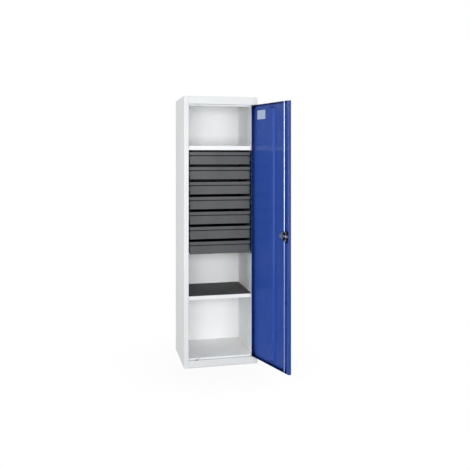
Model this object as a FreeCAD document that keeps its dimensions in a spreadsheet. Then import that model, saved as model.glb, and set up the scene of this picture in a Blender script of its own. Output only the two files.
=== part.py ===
import FreeCAD, Part
import math
import os
import Sketcher

# Tool cabinet of folded sheet steel: a carcass with an open door, seven drawers, two shelves and a
# three-point rotary lock. All lengths are in millimetres. The origin is on the floor, under the middle
# of the carcass. X runs to the right, Y to the back and Z up. The door is shown open.

DRIVING = (
    # Carcass
    ("width", 500.0),
    ("depth", 450.0),
    ("height", 1800.0),
    ("gauge", 1.0),
    ("bend", 1.5),
    ("lock_stile", 31.0),
    ("hinge_stile", 18.0),
    ("frame_return", 24.0),
    ("frame_lip", 10.0),
    ("rear_flange", 20.0),
    ("liner_inset", 32.0),
    ("liner_flange", 22.0),
    ("plinth_height", 46.0),
    ("plinth_hem", 12.0),
    ("ledge_depth", 27.0),
    ("stop_height", 10.0),
    ("fascia_height", 52.0),
    ("panel_flange", 20.0),
    # Shelves
    ("shelf_inset", 30.0),
    ("shelf_play", 0.5),
    ("shelf_hem", 12.0),
    ("shelf_flange_rise", 7.0),
    ("upper_shelf_lip", 30.0),
    ("lower_shelf_lip", 25.0),
    ("mat_thickness", 2.5),
    ("mat_margin", 4.0),
    ("clip_inset", 40.0),
    ("clip_width", 18.0),
    ("clip_reach", 14.0),
    ("clip_height", 22.0),
    ("clip_gauge", 2.0),
    ("clip_drop", 8.0),
    ("clip_hook", 7.0),
    ("slot_pitch", 50.0),
    # Door
    ("door_thickness", 20.0),
    ("door_setback", 0.5),
    ("pivot_inset", 4.5),
    ("hinge_gap", 2.5),
    ("lock_gap", 2.0),
    ("door_foot_gap", 4.0),
    ("door_head_gap", 3.0),
    ("door_open", 107.0),
    ("door_lip", 22.0),
    ("stiffener_width", 60.0),
    ("stiffener_depth", 10.0),
    ("stiffener_foot", 12.0),
    ("stiffener_end_gap", 32.0),
    ("label_across", 46.0),
    ("label_width", 100.0),
    ("label_height", 60.0),
    ("label_drop", 37.0),
    ("label_thickness", 0.8),
    ("buffer_inset", 70.0),
    ("buffer_width", 12.0),
    ("buffer_height", 5.0),
    # Hinge
    ("pin_radius", 2.5),
    ("pin_shoulder_radius", 4.5),
    ("pin_reach", 14.0),
    ("bush_size", 12.0),
    ("bush_height", 11.0),
    ("bush_corner", 2.0),
    ("running_play", 0.05),
    ("seat_gap", 0.3),
    ("cut_past", 1.0),
    # Lock
    ("lock_backset", 42.5),
    ("lock_level", 900.0),
    ("lock_travel", 12.0),
    ("slot_start_radius", 14.0),
    ("drive_pin_radius", 2.5),
    ("cam_radius", 30.5),
    ("cam_thickness", 2.5),
    ("cam_recess", 3.0),
    ("case_hinge_side", 35.0),
    ("case_lock_side", 38.0),
    ("case_half_height", 35.0),
    ("case_depth", 10.5),
    ("case_rim", 7.0),
    ("case_rim_width", 8.0),
    ("case_corner", 6.0),
    ("plate_thickness", 2.5),
    ("bolt_height", 15.0),
    ("bolt_tail", 70.0),
    ("guide_start", 35.5),
    ("guide_length", 31.0),
    ("guide_height", 22.0),
    ("guide_depth", 16.0),
    ("guide_foot", 8.0),
    ("rod_offset", 12.0),
    ("rod_depth", 14.8),
    ("rod_radius", 3.0),
    ("rod_end_level", 24.0),
    ("foot_width", 6.5),
    ("foot_height", 7.0),
    ("keeper_length", 22.0),
    ("keeper_width", 12.0),
    ("rod_guide_size", 14.0),
    ("rod_guide_height", 10.0),
    ("rod_guide_level", 420.0),
    ("spindle_radius", 6.0),
    ("spindle_square", 8.0),
    ("boss_radius", 4.0),
    ("boss_head_radius", 6.0),
    ("rosette_radius", 27.0),
    ("rosette_thickness", 3.0),
    ("hub_radius", 20.0),
    ("hub_height", 12.0),
    ("lever_length", 92.0),
    ("lever_root_width", 25.0),
    ("lever_tip_width", 17.0),
    ("lever_thickness", 8.0),
    ("lever_edge", 2.0),
    ("cylinder_radius", 9.0),
    ("cylinder_length", 7.5),
    ("keyway_width", 2.0),
    ("keyway_height", 8.0),
    ("keyway_depth", 3.0),
    # Drawers
    ("drawer_pitch", 100.0),
    ("drawer_base", 738.0),
    ("drawer_head_gap", 4.0),
    ("drawer_gap", 17.0),
    ("face_height", 56.5),
    ("groove_height", 5.0),
    ("face_inset", 32.0),
    ("groove_inset", 37.0),
    ("band_inset", 25.0),
    ("band_overhang", 9.0),
    ("face_shortening", 4.0),
    ("band_hem", 6.0),
    ("front_bend", 0.4),
    ("door_corner_clearance", 1.4),
    ("tray_lift", 12.0),
    ("tray_height", 72.0),
    ("tray_depth", 392.0),
    # Drawer runners
    ("runner_space", 15.0),
    ("runner_level", 47.0),
    ("runner_gauge", 1.2),
    ("runner_bend", 0.5),
    ("rail_height", 30.0),
    ("rail_flange", 4.5),
    ("rail_overlap", 8.0),
    ("glide_height", 18.0),
    ("glide_length", 24.0),
    ("glide_width", 7.0),
    ("glide_corner", 5.0),
    ("glide_stand_off", 5.5),
    ("glide_spacing", 90.0),
    ("glide_front_gap", 2.0),
    ("glide_pin_radius", 3.0),
    ("glide_pin_end", 0.5),
    ("channel_flange", 10.0),
    ("channel_tail_gap", 2.0),
    ("post_width", 30.0),
    ("post_inset", 29.0),
    ("rear_post_inset", 45.0),
)
DRAWER_COUNT = 7
SLOTS_BELOW_SHELF = 7
SLOTS_BETWEEN_SHELVES = 20
SLOTS_ABOVE_SHELF = 5

doc = FreeCAD.newDocument("tool_cabinet")
sheet = doc.addObject("Spreadsheet::Sheet", "Sizes")
V = FreeCAD.Vector


class Size:
    """A length that knows its value and its formula in the sheet's names."""

    def __init__(self, value, formula=None):
        self.value = float(value)
        self.formula = formula or repr(float(value))

    def __add__(self, other):
        other = as_size(other)
        return Size(self.value + other.value, f"({self.formula} + {other.formula})")

    def __sub__(self, other):
        other = as_size(other)
        return Size(self.value - other.value, f"({self.formula} - {other.formula})")

    def __mul__(self, other):
        other = as_size(other)
        return Size(self.value * other.value, f"({self.formula} * {other.formula})")

    def __truediv__(self, other):
        other = as_size(other)
        return Size(self.value / other.value, f"({self.formula} / {other.formula})")

    def __neg__(self):
        return Size(-self.value, f"(-1 * {self.formula})")


def as_size(number):
    return number if isinstance(number, Size) else Size(number)


def cosine(angle):
    return Size(math.cos(math.radians(angle.value)), f"cos({angle.formula} * 1 deg)")


def sine(angle):
    return Size(math.sin(math.radians(angle.value)), f"sin({angle.formula} * 1 deg)")


def enter_sizes():
    """Each driving dimension in its own cell, named by its alias."""
    named = {}
    for row, (alias, value) in enumerate(DRIVING, start=1):
        sheet.set(f"A{row}", alias)
        sheet.set(f"B{row}", str(value))
        sheet.setAlias(f"B{row}", alias)
        named[alias] = Size(value, f"Sizes.{alias}")
    doc.recompute()
    return type("DrivingSizes", (), named)


s = enter_sizes()
ZERO = Size(0)
AXIS_TURNS = {"x": (V(0, 1, 0), 90), "y": (V(1, 0, 0), -90), "z": (V(0, 0, 1), 0)}
nodes = []


def bind(thing, name, size):
    thing.setExpression(name, as_size(size).formula)


def heading(start, end):
    """The unit direction from one place in a plane to the next."""
    run = end[0].value - start[0].value
    rise = end[1].value - start[1].value
    length = math.hypot(run, rise)
    return (round(run / length, 9), round(rise / length, 9))


def draw(sketch, corners):
    """A closed outline. Each corner is (across, up, radius), with no radius where it is sharp."""
    places = []
    sides = []
    for index, (across, up, radius) in enumerate(corners):
        if radius is None:
            places.append((across, up))
            sides.append(None)
            continue
        into = heading(corners[index - 1], corners[index])
        out = heading(corners[index], corners[(index + 1) % len(corners)])
        turn = into[0] * out[1] - into[1] * out[0]
        share = abs(turn) / (1 + into[0] * out[0] + into[1] * out[1])
        begin = (across - radius * (share * into[0]), up - radius * (share * into[1]))
        places.append(begin)
        toward = 1 if turn > 0 else -1
        middle = (begin[0] - radius * (toward * into[1]), begin[1] + radius * (toward * into[0]))
        sides.append((middle, radius, turn > 0))
        places.append((across + radius * (share * out[0]), up + radius * (share * out[1])))
        sides.append(None)
    count = len(places)
    ends = []
    for index, side in enumerate(sides):
        start = V(places[index][0].value, places[index][1].value, 0)
        stop_place = places[(index + 1) % count]
        stop = V(stop_place[0].value, stop_place[1].value, 0)
        if side is None:
            sketch.addGeometry(Part.LineSegment(start, stop), False)
            ends.append((1, 2))
            continue
        middle, radius, turns_left = side
        centre = V(middle[0].value, middle[1].value, 0)
        from_angle = math.atan2(start.y - centre.y, start.x - centre.x)
        to_angle = math.atan2(stop.y - centre.y, stop.x - centre.x)
        if not turns_left:
            from_angle, to_angle = to_angle, from_angle
        circle = Part.Circle(centre, V(0, 0, 1), radius.value)
        sketch.addGeometry(Part.ArcOfCircle(circle, from_angle, to_angle), False)
        ends.append((1, 2) if turns_left else (2, 1))
    for index, side in enumerate(sides):
        after = (index + 1) % count
        joint = (index, ends[index][1], after, ends[after][0])
        sketch.addConstraint(Sketcher.Constraint("Coincident", *joint))
        owner = (index, 1)
        if side is not None:
            owner = ((index - 1) % count, 2)
            radius = sketch.addConstraint(Sketcher.Constraint("Radius", index, side[1].value))
            bind(sketch, f"Constraints[{radius}]", side[1])
        for kind, place in zip(("DistanceX", "DistanceY"), places[index]):
            number = sketch.addConstraint(Sketcher.Constraint(kind, -1, 1, *owner, place.value))
            bind(sketch, f"Constraints[{number}]", place)


def datum(body, role):
    """The plane or axis of the body's own origin that has this role."""
    return [feature for feature in body.Origin.OriginFeatures if feature.Role == role][0]


def outline(sketch, body, plane, start, corners):
    """An outline on one of the main planes, moved along the plane's normal to start."""
    sketch.AttachmentSupport = [(datum(body, f"{plane}_Plane"), "")]
    sketch.MapMode = "FlatFace"
    bind(sketch, "AttachmentOffset.Base.z", start)
    draw(sketch, corners)


def extrusion(name, plane, corners, low, high):
    """A body whose outline in one plane runs across it from low to high."""
    body = doc.addObject("PartDesign::Body", name)
    sketch = body.newObject("Sketcher::SketchObject", f"{name}_outline")
    start = -as_size(high) if plane == "XZ" else as_size(low)
    outline(sketch, body, plane, start, corners)
    pad = body.newObject("PartDesign::Pad", f"{name}_pad")
    pad.Profile = sketch
    bind(pad, "Length", as_size(high) - low)
    return body


def folded(name, plane, path, side, low, high, gauge=s.gauge, bend=s.bend):
    """A strip of sheet with a bend at each corner. The sheet lies left (1) or right (-1) of its path."""
    ways = [heading(path[index], path[index + 1]) for index in range(len(path) - 1)]
    near_face = []
    far_face = []
    for index, (across, up) in enumerate(path):
        touching = ways[max(index - 1, 0):index + 1]
        spread = 1
        near_radius = None
        far_radius = None
        if len(touching) == 2:
            spread = 1 + touching[0][0] * touching[1][0] + touching[0][1] * touching[1][1]
            turn = touching[0][0] * touching[1][1] - touching[0][1] * touching[1][0]
            outside = turn * side > 0
            near_radius = bend + gauge if outside else bend
            far_radius = bend if outside else bend + gauge
        shift_across = sum(-side * way[1] for way in touching) / spread
        shift_up = sum(side * way[0] for way in touching) / spread
        near_face.append((as_size(across), as_size(up), near_radius))
        far_place = (as_size(across) + gauge * shift_across, as_size(up) + gauge * shift_up)
        far_face.append((*far_place, far_radius))
    return extrusion(name, plane, near_face + far_face[::-1], low, high)


def rectangle(left, right, low, high, radius=None):
    """The four corners of an upright rectangle."""
    return [(left, low, radius), (right, low, radius), (right, high, radius), (left, high, radius)]


def block(name, x, y, z):
    """A block between two places on each axis."""
    solid = doc.addObject("Part::Box", name)
    for edge, letter, (low, high) in zip(("Length", "Width", "Height"), "xyz", (x, y, z)):
        bind(solid, edge, as_size(high) - low)
        bind(solid, f"Placement.Base.{letter}", low)
    return solid


def cylinder(name, axis, middle, radius, low, high):
    """A cylinder along one axis, with its middle given on the other two."""
    solid = doc.addObject("Part::Cylinder", name)
    solid.Placement = FreeCAD.Placement(V(), FreeCAD.Rotation(*AXIS_TURNS[axis]))
    bind(solid, "Radius", radius)
    bind(solid, "Height", as_size(high) - low)
    bind(solid, f"Placement.Base.{axis}", low)
    for letter, place in zip("xyz".replace(axis, ""), middle):
        bind(solid, f"Placement.Base.{letter}", place)
    return solid


def fused(name, solids):
    whole = doc.addObject("Part::MultiFuse", name)
    whole.Shapes = solids
    whole.Refine = True
    return whole


def carved(name, solid, tools):
    """A solid with one or more tool shapes cut away."""
    result = doc.addObject("Part::Cut", name)
    result.Base = solid
    result.Tool = tools[0] if len(tools) == 1 else fused(f"{name}_tools", tools)
    result.Refine = True
    return result


def node(label, solids, put=None):
    """One named piece of the cabinet, or one group of alike pieces."""
    piece = doc.addObject("Part::Compound", f"{label}_piece")
    piece.Links = solids
    piece.Label = label
    if put is not None:
        put(piece)
    nodes.append(piece)


def span(start, length, toward):
    """The low and high ends of a stretch that runs from start to the right (1) or the left (-1)."""
    start = as_size(start)
    end = start + as_size(length) * toward
    return (start, end) if toward > 0 else (end, start)


# Main planes of the carcass
left = -s.width / 2
right = s.width / 2
front = -s.depth / 2
back = s.depth / 2
opening_left = left + s.lock_stile
opening_right = right - s.hinge_stile
opening_bottom = s.plinth_height
opening_top = s.height - s.fascia_height
stile_back = front + s.frame_return
ledge_back = front + s.ledge_depth
floor_top = opening_bottom + s.stop_height
liner_left = left + s.liner_inset
liner_right = right - s.liner_inset
panel_face = back - s.gauge * 2

# The upper shelf covers the drawers. The lower one hangs a whole number of slots below it.
upper_shelf_top = s.drawer_base + s.drawer_pitch * DRAWER_COUNT + s.drawer_head_gap + s.upper_shelf_lip
upper_clip_level = upper_shelf_top - s.upper_shelf_lip + s.shelf_flange_rise
lower_clip_level = upper_clip_level - s.slot_pitch * SLOTS_BETWEEN_SHELVES
lower_shelf_top = lower_clip_level - s.shelf_flange_rise + s.lower_shelf_lip
clip_starts = (front + s.shelf_inset + s.clip_inset, panel_face - s.clip_inset - s.clip_width)

# The door's own frame has its origin on the hinge axis. X runs from the free edge towards the hinge
# edge, and Y from the outer face inwards.
pivot_x = opening_right - s.hinge_gap - s.pivot_inset
pivot_y = front + s.door_setback + s.pivot_inset
door_width = opening_right - s.hinge_gap - (opening_left + s.lock_gap)
door_bottom = opening_bottom + s.door_foot_gap
door_top = opening_top - s.door_head_gap
hinge_edge = s.pivot_inset
free_edge = s.pivot_inset - door_width


def across(distance):
    """The place at this distance from the door's hinge edge."""
    return s.pivot_inset - distance


def deep(distance):
    """The place at this distance behind the door's outer face."""
    return as_size(distance) - s.pivot_inset


lock_x = free_edge + s.lock_backset
rod_x = lock_x + s.rod_offset
stiffener_x = across(door_width / 2)
rod_y = deep(s.rod_depth)
closed_rod_x = pivot_x + rod_x
closed_rod_y = pivot_y + rod_y
plate_front = s.case_depth + s.seat_gap
plate_back = plate_front + s.plate_thickness
drive_slot_radius = s.drive_pin_radius + s.seat_gap

# Drawers keep clear of the inner corner of the open door.
open_corner_x = (pivot_x + s.pivot_inset * cosine(s.door_open)
                 - (s.door_thickness - s.pivot_inset) * sine(s.door_open))
tray_left = liner_left + s.runner_space
tray_right = open_corner_x - s.door_corner_clearance - s.band_overhang
band_left = tray_left - s.band_overhang
band_right = tray_right + s.band_overhang
post_face = tray_right + s.runner_space
tray_front = front + s.groove_inset + s.gauge
tray_back = tray_front + s.tray_depth


def hang_on_door(piece):
    piece.Placement = FreeCAD.Placement(V(), FreeCAD.Rotation(V(0, 0, 1), s.door_open.value))
    bind(piece, "Placement.Base.x", pivot_x)
    bind(piece, "Placement.Base.y", pivot_y)
    bind(piece, "Placement.Rotation.Angle", s.door_open)


def side_panel(label, outer, stile, toward):
    """Outer skin with a rear flange and a front stile that returns inwards and ends in a lip."""
    stile_edge = outer + stile * toward
    path = [(outer + s.rear_flange * toward, back), (outer, back), (outer, front), (stile_edge, front),
            (stile_edge, stile_back), (stile_edge - s.frame_lip * toward, stile_back)]
    return folded(f"{label}_sheet", "XY", path, toward, ZERO, s.height - s.gauge)


def build_side_panels():
    panel = side_panel("left_side_panel", left, s.lock_stile, 1)
    slot_y = (pivot_y + deep(plate_front) - s.seat_gap, pivot_y + deep(plate_back) + s.seat_gap)
    slot_z = (s.lock_level - s.bolt_height / 2 - s.seat_gap * 2,
              s.lock_level + s.bolt_height / 2 + s.seat_gap * 2)
    strike = block("strike_slot", (opening_left - s.gauge - s.cut_past, opening_left + s.cut_past), slot_y,
                   slot_z)
    node("left_side_panel", [carved("left_side_panel_slotted", panel, [strike])])
    node("right_side_panel", [side_panel("right_side_panel", right, s.hinge_stile, -1)])


def build_back_panel():
    edge = s.gauge + s.bend
    panel = block("back_sheet", (left + edge, right - edge), (panel_face, panel_face + s.gauge),
                  (ZERO, s.height - s.gauge))
    node("back_panel", [panel])


def keeper_slot(name, low, high):
    """The hole in the frame that a lock rod enters."""
    half_length = s.keeper_length / 2
    half_width = s.keeper_width / 2
    return block(name, (closed_rod_x - half_length, closed_rod_x + half_length),
                 (closed_rod_y - half_width, closed_rod_y + half_width), (low, high))


def build_top_panel():
    """Top sheet, fascia with its return over the door, stop lip and inner flanges."""
    under = s.height - s.gauge
    path = [(ledge_back, opening_top - s.stop_height), (ledge_back, opening_top),
            (front, opening_top), (front, s.height), (front + s.ledge_depth, s.height)]
    frame = folded("fascia_sheet", "YZ", path[1:], -1, opening_left, opening_right)
    lip = block("head_stop", (opening_left, opening_right), (ledge_back - s.gauge, ledge_back),
                (opening_top - s.stop_height, opening_top + s.gauge))
    top = block("top_sheet", (left, right), (front + s.gauge + s.bend, back), (under, s.height))
    top_front = [block(f"top_corner_{side}", ends, (front, front + s.ledge_depth), (under, s.height))
                 for side, ends in (("left", (left, opening_left)), ("right", (opening_right, right)))]
    flanges = [block(f"top_flange_{side}", span(place, s.gauge, toward),
                     (stile_back + s.gauge, panel_face - s.gauge), (under - s.panel_flange, under))
               for side, place, toward in (("left", left + s.gauge, 1), ("right", right - s.gauge, -1))]
    whole = fused("top_panel_folds", [frame, lip, top] + top_front + flanges)
    through = (opening_top - s.cut_past, opening_top + s.gauge + s.cut_past)
    pin_hole = cylinder("head_pin_hole", "z", (pivot_x, pivot_y), s.pin_radius + s.running_play, *through)
    keeper = keeper_slot("head_keeper", *through)
    notch_ends = {"left": (opening_left, liner_left), "right": (liner_right, opening_right)}
    notches = [block(f"head_notch_{side}", ends, (stile_back, ledge_back),
                     (opening_top - s.stop_height, opening_top + s.gauge))
               for side, ends in notch_ends.items()]
    node("top_panel", [carved("top_panel_holed", whole, [pin_hole, keeper] + notches)])


def build_base():
    """Plinth with its ledge and stop riser, and the floor panel, whose skirts stand on the ground."""
    path = [(front + s.plinth_hem, ZERO), (front, ZERO), (front, opening_bottom),
            (ledge_back, opening_bottom)]
    strip = folded("plinth_sheet", "YZ", path, -1, opening_left, opening_right)
    riser = block("foot_stop", (opening_left, opening_right), (ledge_back - s.gauge, ledge_back),
                  (opening_bottom - s.gauge, floor_top))
    through = (opening_bottom - s.gauge - s.cut_past, opening_bottom + s.cut_past)
    pin_hole = cylinder("foot_pin_hole", "z", (pivot_x, pivot_y), s.pin_radius + s.running_play, *through)
    keeper = keeper_slot("foot_keeper", *through)
    node("plinth", [carved("plinth_holed", fused("plinth_folds", [strip, riser]), [pin_hole, keeper])])
    floor_back = panel_face - s.gauge
    floor = block("floor_sheet", (left + s.gauge, right - s.gauge), (ledge_back, floor_back),
                  (floor_top - s.gauge, floor_top))
    skirts = [block(f"floor_skirt_{side}", span(place, s.gauge, toward), (ledge_back, floor_back),
                    (ZERO, floor_top))
              for side, place, toward in (("left", left + s.gauge, 1), ("right", right - s.gauge, -1))]
    rear_skirt = block("floor_skirt_rear", (left + s.gauge, right - s.gauge),
                       (floor_back - s.gauge, floor_back), (ZERO, floor_top))
    node("floor_panel", [fused("floor_folds", [floor, rear_skirt] + skirts)])


def cut_clip_slots(liner, label, face, toward):
    """Two columns of slots for the hooks of the shelf clips, at a steady pitch up the liner."""
    first_top = lower_clip_level - s.clip_drop - s.slot_pitch * SLOTS_BELOW_SHELF
    pockets = []
    for number, start in enumerate(clip_starts, start=1):
        corners = rectangle(start - s.seat_gap, start + s.clip_width + s.seat_gap,
                            first_top - s.clip_gauge - s.seat_gap, first_top + s.seat_gap)
        sketch = liner.newObject("Sketcher::SketchObject", f"{label}_slot_outline_{number}")
        outline(sketch, liner, "YZ", face + s.cut_past * toward, corners)
        pocket = liner.newObject("PartDesign::Pocket", f"{label}_slot_{number}")
        pocket.Profile = sketch
        pocket.Reversed = toward < 0
        bind(pocket, "Length", s.gauge + s.cut_past * 2)
        pockets.append(pocket)
    rows = liner.newObject("PartDesign::LinearPattern", f"{label}_slot_rows")
    rows.Originals = pockets
    rows.Direction = (datum(liner, "Z_Axis"), [""])
    count = SLOTS_BELOW_SHELF + SLOTS_BETWEEN_SHELVES + SLOTS_ABOVE_SHELF + 1
    rows.Occurrences = count
    bind(rows, "Length", s.slot_pitch * (count - 1))
    liner.Tip = rows
    return liner


def build_liners():
    """Inner side walls with a flange at the front and at the back. The left one is flush with its stile."""
    top = s.height - s.gauge
    for label, face, toward in (("left_liner", liner_left, 1), ("right_liner", liner_right, -1)):
        outer = face - s.liner_flange * toward
        path = [(outer, stile_back), (face, stile_back), (face, panel_face), (outer, panel_face)]
        liner = folded(f"{label}_sheet", "XY", path, toward, floor_top, top)
        node(label, [cut_clip_slots(liner, label, face, toward)])


def shelf(label, top, lip):
    """A folded pan: front lip with a hem, a rear flange and two side flanges that stand on the clips."""
    flange_foot = top - lip + s.shelf_flange_rise
    shelf_front = front + s.shelf_inset
    shelf_back = panel_face - s.gauge
    low_x = liner_left + s.shelf_play
    high_x = liner_right - s.shelf_play
    path = [(shelf_front + s.shelf_hem, top - lip), (shelf_front, top - lip), (shelf_front, top),
            (shelf_back, top), (shelf_back, flange_foot)]
    sheet_body = folded(f"{label}_sheet", "YZ", path, -1, low_x, high_x)
    sides = [block(f"{label}_flange_{side}", span(place, s.gauge, toward),
                   (shelf_front + s.gauge, shelf_back - s.gauge), (flange_foot, top - s.gauge))
             for side, place, toward in (("left", low_x, 1), ("right", high_x, -1))]
    node(label, [fused(f"{label}_folds", [sheet_body] + sides)])


def clip_corners(wall, toward, level):
    """A bracket with its hook: an arm under the shelf, a leg on the wall and a tongue behind it."""
    reach = wall + s.clip_reach * toward
    inner = wall + s.clip_gauge * toward
    behind = wall - (s.gauge + s.seat_gap) * toward
    far = behind - s.clip_gauge * toward
    under = level - s.clip_gauge
    foot = level - s.clip_height
    tongue_top = level - s.clip_drop
    tongue_foot = tongue_top - s.clip_gauge
    tip = tongue_top - s.clip_hook
    return [(reach, level, None), (wall, level, None), (wall, tongue_top, None), (far, tongue_top, None),
            (far, tip, None), (behind, tip, None), (behind, tongue_foot, None), (wall, tongue_foot, None),
            (wall, foot, None), (inner, foot, None), (inner, under, s.bend), (reach, under, None)]


def shelf_clips():
    """Brackets hooked into the liners' slots, under the four corners of each shelf."""
    clips = []
    for level in (upper_clip_level, lower_clip_level):
        for start in clip_starts:
            for wall, toward in ((liner_left, 1), (liner_right, -1)):
                clips.append(extrusion(f"clip_{len(clips) + 1}", "XZ", clip_corners(wall, toward, level),
                                       start, start + s.clip_width))
    node("shelf_clips", clips)


def build_shelves():
    shelf("upper_shelf", upper_shelf_top, s.upper_shelf_lip)
    shelf("lower_shelf", lower_shelf_top, s.lower_shelf_lip)
    shelf_clips()
    mat = block("mat_sheet", (liner_left + s.mat_margin, liner_right - s.mat_margin),
                (front + s.shelf_inset + s.mat_margin, panel_face - s.mat_margin),
                (lower_shelf_top, lower_shelf_top + s.mat_thickness))
    node("shelf_mat", [mat])


def build_hinge():
    """Two riveted pins with shoulders, and the bushes in the corners of the door."""
    pins = []
    foot_hole = opening_bottom - s.gauge
    head_hole = opening_top + s.gauge
    ends = ((foot_hole, opening_bottom + s.pin_reach, opening_bottom, door_bottom - s.seat_gap),
            (opening_top - s.pin_reach, head_hole, door_top + s.seat_gap, opening_top))
    for name, (low, high, shoulder_low, shoulder_high) in zip(("lower", "upper"), ends):
        shaft = cylinder(f"{name}_pin_shaft", "z", (pivot_x, pivot_y), s.pin_radius, low, high)
        shoulder = cylinder(f"{name}_pin_shoulder", "z", (pivot_x, pivot_y), s.pin_shoulder_radius,
                            shoulder_low, shoulder_high)
        pins.append(fused(f"{name}_pin", [shaft, shoulder]))
    node("hinge_pins", pins)
    bushes = []
    inner_x = hinge_edge - s.gauge
    inner_y = deep(s.gauge)
    levels = ((door_bottom + s.gauge, door_bottom + s.gauge + s.bush_height),
              (door_top - s.gauge - s.bush_height, door_top - s.gauge))
    for name, (low, high) in zip(("lower", "upper"), levels):
        corners = rectangle(inner_x - s.bush_size, inner_x, inner_y, inner_y + s.bush_size, s.bush_corner)
        body = extrusion(f"{name}_bush_block", "XY", corners, low, high)
        bore = cylinder(f"{name}_bush_bore", "z", (ZERO, ZERO), s.pin_radius + s.running_play, low, high)
        bushes.append(carved(f"{name}_bush", body, [bore]))
    node("hinge_bushes", bushes, hang_on_door)


def build_buffers():
    """Pads on the stop riser and the stop lip that meet the closed door's lock side."""
    pads = []
    start_x = opening_left + s.buffer_inset
    closed_back = front + s.door_setback + s.door_thickness
    levels = ((floor_top - s.buffer_height, floor_top),
              (opening_top - s.stop_height, opening_top - s.stop_height + s.buffer_height))
    for name, level in zip(("foot", "head"), levels):
        pads.append(block(f"{name}_buffer", (start_x, start_x + s.buffer_width),
                          (closed_back + s.seat_gap, ledge_back - s.gauge), level))
    node("door_buffers", pads)


def build_door_panel():
    """Pan of one folded sheet with four flanges and a lip along the lock side."""
    rear = deep(s.door_thickness)
    skin_face = deep(ZERO)
    path = [(free_edge + s.door_lip, rear), (free_edge, rear), (free_edge, skin_face),
            (hinge_edge, skin_face), (hinge_edge, rear)]
    pan = folded("door_sheet", "XY", path, 1, door_bottom, door_top)
    ends = [block(f"door_{name}_flange", (free_edge + s.gauge, hinge_edge - s.gauge),
                  (deep(s.gauge), rear), span(level, s.gauge, toward))
            for name, level, toward in (("foot", door_bottom, 1), ("head", door_top, -1))]
    holes = [cylinder("door_spindle_hole", "y", (lock_x, s.lock_level), s.spindle_radius + s.seat_gap * 2,
                      skin_face - s.cut_past, deep(s.gauge) + s.cut_past)]
    for name, level, toward in (("foot", door_bottom, 1), ("head", door_top, -1)):
        low, high = span(level - s.cut_past * toward, s.gauge + s.cut_past * 2, toward)
        holes.append(cylinder(f"{name}_hinge_hole", "z", (ZERO, ZERO), s.pin_radius + s.seat_gap, low, high))
        holes.append(cylinder(f"{name}_rod_hole", "z", (rod_x, rod_y), s.rod_radius + s.seat_gap, low, high))
    half_bolt = s.bolt_height / 2 + s.seat_gap
    holes.append(block("bolt_slot", (free_edge - s.cut_past, free_edge + s.gauge + s.cut_past),
                       (deep(plate_front) - s.seat_gap, deep(plate_back) + s.seat_gap),
                       (s.lock_level - half_bolt, s.lock_level + half_bolt)))
    notch = s.case_half_height + s.gauge
    holes.append(block("lip_notch", (free_edge + s.gauge * 2, free_edge + s.door_lip + s.cut_past),
                       (rear - s.gauge - s.cut_past, rear + s.cut_past),
                       (s.lock_level - notch, s.lock_level + notch)))
    node("door_panel", [carved("door_panel_holed", fused("door_folds", [pan] + ends), holes)], hang_on_door)


def build_door_fittings():
    """Stiffener with sloping flanks, bare label plate and the guides that hold the lock rods."""
    half = s.stiffener_width / 2
    foot_face = deep(s.gauge)
    crest = deep(s.stiffener_depth)
    first = stiffener_x - half
    last = stiffener_x + half
    slope = crest - foot_face
    path = [(first - slope - s.stiffener_foot, foot_face), (first - slope, foot_face), (first, crest),
            (last, crest), (last + slope, foot_face), (last + slope + s.stiffener_foot, foot_face)]
    hat = folded("stiffener_sheet", "XY", path, 1, door_bottom + s.stiffener_end_gap,
                 door_top - s.stiffener_end_gap)
    node("door_stiffener", [hat], hang_on_door)
    label_start = across(s.label_across + s.label_width)
    label = block("label_sheet", (label_start, label_start + s.label_width),
                  (foot_face, foot_face + s.label_thickness),
                  (door_top - s.label_drop - s.label_height, door_top - s.label_drop))
    node("label_plate", [label], hang_on_door)
    guides = []
    half_guide = s.rod_guide_size / 2
    for name, toward in (("upper", 1), ("lower", -1)):
        level = s.lock_level + s.rod_guide_level * toward
        body = block(f"{name}_guide_block", (rod_x - half_guide, rod_x + half_guide),
                     (foot_face, rod_y + s.rod_radius / 2), (level, level + s.rod_guide_height))
        bore = cylinder(f"{name}_guide_bore", "z", (rod_x, rod_y), s.rod_radius + s.seat_gap,
                        level, level + s.rod_guide_height)
        guides.append(carved(f"{name}_guide", body, [bore]))
    node("rod_guides", guides, hang_on_door)


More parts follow.
